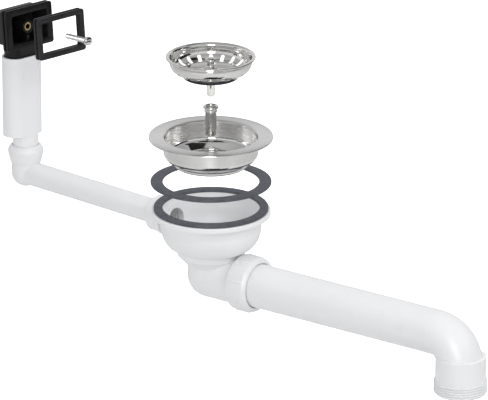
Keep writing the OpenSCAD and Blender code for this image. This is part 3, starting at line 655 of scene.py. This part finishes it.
def makeBasket(s):
    t = s["steel"]
    sheet = [
        (s["rimR"] - 0.9, -1.9, 0.25),
        (s["rimR"], -1.7, 0.8),
        (s["rimR"], 0, 0.95),
        (s["rimR"] - 3.0, 0, 0.9),
        (s["lipR"] + 0.2, -2.2, 1.0),
        (s["bulgeR"], -5.4, 1.8),
        (s["bulgeR"] - 0.9, -9.8, 2.4),
        (s["footR"] + 3.0, s["foot"] + 1.9, 1.8),
        (s["footR"], s["foot"] + 0.6, 1.6),
        (s["footR"] - 2.4, s["foot"] + 0.8, 1.0),
        (s["floorR"], s["floor"], 1.2),
        (2.5, s["floor"], 0),
    ]
    under = [
        (2.5, s["floor"] - t, 0),
        (s["floorR"] - 0.2, s["floor"] - t, 1.0),
        (s["footR"] - 2.6, s["foot"] + 0.8 - t, 1.0),
        (s["footR"] + 0.2, s["foot"] + 0.6 - t, 1.8),
        (s["footR"] + 3.6, s["foot"] + 1.5, 2.2),
        (s["bulgeR"] - 0.9 + t, -10.0, 2.6),
        (s["bulgeR"] + t, -5.4, 1.8),
        (s["lipR"] + 0.2 + t, -2.4, 0.8),
        (s["rimR"] - 2.9, -t, 0.4),
        (s["rimR"] - t, -t, 0.3),
    ]
    slots = bmesh.new()
    for i in range(s["slots"]):
        turn = Matrix.Rotation(math.radians(i * 360 / s["slots"]), 4, "Z")
        lean = Matrix.Rotation(math.radians(s["slotLean"]), 4, "Y")
        place = turn @ Matrix.Translation((s["slotR"] * mm, 0, s["slotH"] * mm)) @ lean
        oval(slots, s["slotL"], s["slotW"], s["slotReach"], place, 8)
    bm = bakedBody(spun(sheet + under), cutter=slots)
    skirtTop = s["floor"] - 1.4
    skirt = spun([
        (s["skirtR"], s["skirtFoot"], 0.3), (s["skirtR"], skirtTop, 0.2),
        (s["skirtR"] - t, skirtTop, 0.2), (s["skirtR"] - t, s["skirtFoot"], 0.3),
    ])
    mesh = bpy.data.meshes.new("skirtRing")
    skirt.to_mesh(mesh)
    skirt.free()
    bm.from_mesh(mesh)
    place = uprightAt(topOf("strainer_basket"))
    addPiece("basketBowl", bm, place, "strainer_basket", ["strainer_basket"], "polished_steel", 30)


makeFlange(flange)
makeBasket(basket)

print("stage: knob, stem, seal and hollow screw")
# the knob stands on the basket's floor; the stem and the seal hang from its rim, the screw from its head
knob = dict(capR=5.5, capTop=10.6, neckR=3.3, baseR=5.8, roomR=2.5, roomTop=4.4)
stem = dict(
    radius=3.9, top=-12.8, reach=-37.7, slitLow=8.0, slitHigh=19.0, slitW=1.2, boreR=1.7, boreH=4.0,
    pinR=2.4, pinTop=-8.0, grooveR=3.65,
)
cone = dict(outer=25.5, foot=-19.7, lip=3.2, pocket=10.5, web=1.2, top=-12.8, hole=4.2)
screw = dict(
    length=28.0, headR=7.35, neckR=5.4, collarR=6.05, shankR=5.1, headH=5.5, socketR=4.3,
    threadH=6.5, threadR=3.1,
)


def makeKnob(s, floor):
    outline = [
        (0, s["roomTop"], 0), (s["roomR"], s["roomTop"], 0), (s["roomR"], 0, 0),
        (s["baseR"], 0, 0.2), (s["baseR"], 1.3, 0.6),
        (s["baseR"] - 1.9, 2.4, 0.8), (s["neckR"], 3.6, 0.7), (s["neckR"], s["capTop"] - 4.6, 0.7),
        (s["capR"] - 0.8, s["capTop"] - 4.0, 0.6), (s["capR"], s["capTop"] - 2.9, 0.8),
        (s["capR"] - 0.4, s["capTop"] - 1.2, 0.8), (s["capR"] - 2.2, s["capTop"] - 0.2, 0.9),
        (0, s["capTop"], 0),
    ]
    bm = spun(outline, knobSteps)
    addPiece(
        "basketKnobTurned", bm, uprightAt(floor), "strainer_basket", ["basket_knob"],
        "polished_steel", 40,
    )


def makeStem(s, rim):
    foot, radius = s["reach"], s["radius"]
    outline = [
        (0, foot + s["boreH"], 0), (s["boreR"], foot + s["boreH"], 0), (s["boreR"], foot, 0.2),
        (radius - 1.0, foot, 0.4), (radius, foot + 1.4, 0.5), (radius, foot + 6.4, 0.2),
        (s["grooveR"], foot + 6.8, 0.2), (s["grooveR"], foot + 7.4, 0.2), (radius, foot + 7.8, 0.2),
        (radius, s["top"], 0.1), (s["pinR"], s["top"], 0),
        (s["pinR"], s["pinTop"], 0.4), (0, s["pinTop"], 0),
    ]
    slits = bmesh.new()
    middle = foot + (s["slitLow"] + s["slitHigh"]) / 2
    for turn in (0, 90):
        place = Matrix.Translation((0, 0, middle * mm)) @ Matrix.Rotation(math.radians(turn), 4, "Z")
        block(slits, (4 * radius, s["slitW"], s["slitHigh"] - s["slitLow"]), place)
    bm = bakedBody(spun(outline, knobSteps), cutter=slits)
    addPiece("splitStem", bm, uprightAt(rim), "basket_stem", ["basket_stem"], "natural_plastic", 40)


def makeConeSeal(s, rim):
    foot, lip, web = s["foot"], s["foot"] + s["lip"], s["top"] - s["web"]
    outline = [
        (s["hole"], s["top"], 0), (s["pocket"] + 1.6, s["top"], 0.2), (s["pocket"] + 3, lip, 0.3),
        (s["outer"] - 0.3, lip, 0.6), (s["outer"], foot + 1.8, 0.7), (s["outer"] - 0.5, foot, 0.9),
        (s["pocket"] + 2, foot, 0.4), (s["pocket"], foot + 1.6, 0.3),
        (s["pocket"], web, 0.2), (s["hole"], web, 0),
    ]
    bm = spun(outline)
    place = uprightAt(rim)
    addPiece("basketSealRing", bm, place, "strainer_basket", ["basket_seal"], "black_rubber", 40)


def makeScrew(s, head):
    foot, thread = -s["length"], s["threadH"] - s["length"]
    outline = [
        (s["socketR"], -0.9, 0.4), (s["socketR"] + 0.9, 0, 0.5),
        (s["headR"] - 1.0, 0, 0.7), (s["headR"], -1.2, 1.0), (s["headR"] - 0.6, -2.4, 0.6),
        (s["neckR"], -2.7, 0.3), (s["neckR"], -4.3, 0.2),
        (s["collarR"], -4.7, 0.2), (s["collarR"], -s["headH"], 0.25),
        (s["shankR"], -s["headH"], 0.2), (s["shankR"], foot + 0.7, 0.3), (s["shankR"] - 0.7, foot, 0.3),
        (s["threadR"], foot, 0.2), (s["threadR"], thread, 0), (s["socketR"], thread, 0),
    ]
    bm = spun(outline, nutSteps)
    addPiece("hollowScrew", bm, uprightAt(head), "centre_screw", ["centre_screw"], "polished_steel", 34)


basketRim = topOf("strainer_basket")
makeKnob(knob, basketRim + basket["floor"])
makeStem(stem, basketRim)
makeConeSeal(cone, basketRim)
makeScrew(screw, topOf("centre_screw"))

print("stage: gaskets")
thickRing = dict(inner=43.8, outer=51.8, height=3.0, round=0.9)
flatRing = dict(inner=43.5, outer=54.5, height=1.8, round=0.35)


def makeRing(s, name, node, body):
    corners = ((s["inner"], -s["height"]), (s["outer"], -s["height"]), (s["outer"], 0), (s["inner"], 0))
    bm = spun([(radius, height, s["round"]) for radius, height in corners])
    addPiece(name, bm, uprightAt(topOf(node)), body, [node], "slate_rubber", 40)


makeRing(thickRing, "thickRimGasket", "bowl_gasket", "valve_bowl")
makeRing(flatRing, "flatRimGasket", "flat_gasket", "flat_gasket")

print("stage: nuts, cap and threaded outlet")
# back and front are measured along the pipe from the bowl's axis, which is behind mm behind the joint
unionNut = dict(
    behind=49, back=33.5, front=54.0, boreR=23.55, outer=25.35, mouthR=20.6, wall=4.0,
    ribs=8, ribW=3.0, ribH=0.7, ribSink=0.8, ribRound=0.35,
)
branchNut = dict(behind=63, back=54.5, front=67.5, boreR=14.75, outer=16.4, mouthR=11.7, wall=3.0)
cap = dict(boreR=12.15, flareR=16.5, height=5.7, topR=13.3)


def makeUnionNut(s):
    back, front, outer = s["back"], s["front"], s["outer"]
    outline = [
        (s["boreR"], back, 0.2), (outer - 0.3, back, 0.9), (outer, back + 2.2, 0.8),
        (outer, front - 3.0, 1.2), (outer - 2.2, front, 0.9), (s["mouthR"] + 0.2, front, 0.3),
        (s["mouthR"], front - 0.5, 0.1), (s["mouthR"], front - s["wall"], 0),
        (s["boreR"], front - s["wall"], 0),
    ]
    ribs = bmesh.new()
    length = front - back - 6
    ribAt = outer + (s["ribH"] - s["ribSink"]) / 2
    for i in range(s["ribs"]):
        turn = Matrix.Rotation(math.radians((i + 0.5) * 360 / s["ribs"]), 4, "Z")
        lift = Matrix.Translation((ribAt * mm, 0, (back + 2 + length / 2) * mm))
        block(ribs, (s["ribH"] + s["ribSink"], s["ribW"], length), turn @ lift, s["ribRound"])
    bm = bakedBody(spun(outline), join=ribs)
    place = behindJoint(outletJoint, s["behind"])
    addPiece("unionNutRibbed", bm, place, "union_nut", ["union_nut"], "white_plastic", 34)


def makeBranchNut(s):
    outline = [
        (s["boreR"], s["back"], 0.2), (s["outer"], s["back"], 0.5),
        (s["outer"], s["front"] - 0.2, 1.3), (s["mouthR"], s["front"], 0.3),
        (s["mouthR"], s["front"] - s["wall"], 0), (s["boreR"], s["front"] - s["wall"], 0),
    ]
    place = behindJoint(overflowJoint, s["behind"])
    bm = spun(outline, nutSteps)
    addPiece("branchNutTurned", bm, place, "branch_nut", ["branch_nut"], "white_plastic", 34)


def makeRiserCap(s):
    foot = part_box("riser_cap")[0].z
    place = Matrix.Translation((riserJoint["pos_m"][0], riserJoint["pos_m"][1], foot))
    outline = [
        (s["boreR"], 0, 0.1), (s["flareR"], 0, 0.2), (s["flareR"], 1.0, 0.5),
        (s["topR"] + 0.7, s["height"] - 0.5, 0.5), (s["topR"] - 0.1, s["height"], 0.3),
        (s["boreR"], s["height"], 0.2),
    ]
    bm = spun(outline, nutSteps)
    addPiece("riserCapRing", bm, place, "overflow_pipe", ["riser_cap"], "white_plastic", 34)


makeUnionNut(unionNut)
makeBranchNut(branchNut)
makeRiserCap(cap)

print("stage: clamping bolt, frame and overflow head")
# the bolt is measured from its tip, which is tip mm out from the overflow face
bolt = dict(
    tip=53.5, length=29.0, radius=2.45, headR=4.1, headH=3.6, slotW=1.2, slotD=1.6,
    pitch=0.8, root=0.35, lead=0.6, crestFrom=0.42, crestTo=0.58,
)
seatReach = 47  # from the middle of the head's face out to the mount of its seat


# matrix out along the overflow face, from the middle of it
def faceFrame():
    outward = Vector(frameJoint["axis"])
    seat = Vector(mounts["overflow_seat"]["pos_m"])
    return axisMatrix(seat - seatReach * mm * outward, outward)


def makeBolt(s):
    radius, pitch, length, headR = s["radius"], s["pitch"], s["length"], s["headR"]
    root, top = radius - s["root"], length + s["headH"]
    outline = [(0, 0, 0), (radius - 0.7, 0, 0.1)]
    turns = int((length - 2 * s["lead"]) / pitch)
    for i in range(turns):
        foot = s["lead"] + i * pitch
        outline += [
            (root, foot, 0), (radius, foot + pitch * s["crestFrom"], 0),
            (radius, foot + pitch * s["crestTo"], 0),
        ]
    outline += [
        (root, length - 0.3, 0), (headR - 0.3, length, 0.2), (headR, length + 0.5, 0.3),
        (headR, top - 0.4, 0.5), (headR - 0.5, top, 0.3), (0, top, 0),
    ]
    slot = bmesh.new()
    block(slot, (4 * headR, s["slotW"], 2 * s["slotD"]), uprightAt(top))
    bm = bakedBody(spun(outline, boltSteps), cutter=slot)
    place = faceFrame() @ uprightAt(s["tip"])
    addPiece("clampBolt", bm, place, "clamp_screw", ["clamp_screw"], "polished_steel", 34)


# the node's own shape with its seams merged and its edges broken
def softened(node, name, body, width, finishName):
    bm = bmesh.new()
    bm.from_mesh(nodes[node].data)
    bmesh.ops.remove_doubles(bm, verts=bm.verts, dist=seamReach)
    bmesh.ops.dissolve_limit(
        bm, angle_limit=flatTurn, verts=bm.verts, edges=bm.edges, use_dissolve_boundaries=False
    )
    bm = bakedBody(bm, bevel=width)
    addPiece(name, bm, Matrix.Identity(4), body, [node], finishName, 34)


makeBolt(bolt)
softened("frame_gasket", "frameSealLipped", "frame_gasket", 0.35, "black_rubber")
softened("overflow_head", "overflowHeadBody", "overflow_head", 0.3, "black_plastic")

print("stage: light on the bowl")
# the lifted pieces throw no shade on the bowl under them
for name in ("sinkFlangeCup", "basketBowl", "basketSealRing", "hollowScrew", "flatRimGasket"):
    lifted = bpy.data.objects[name]
    lifted.visible_shadow = False
    lifted.visible_diffuse = False
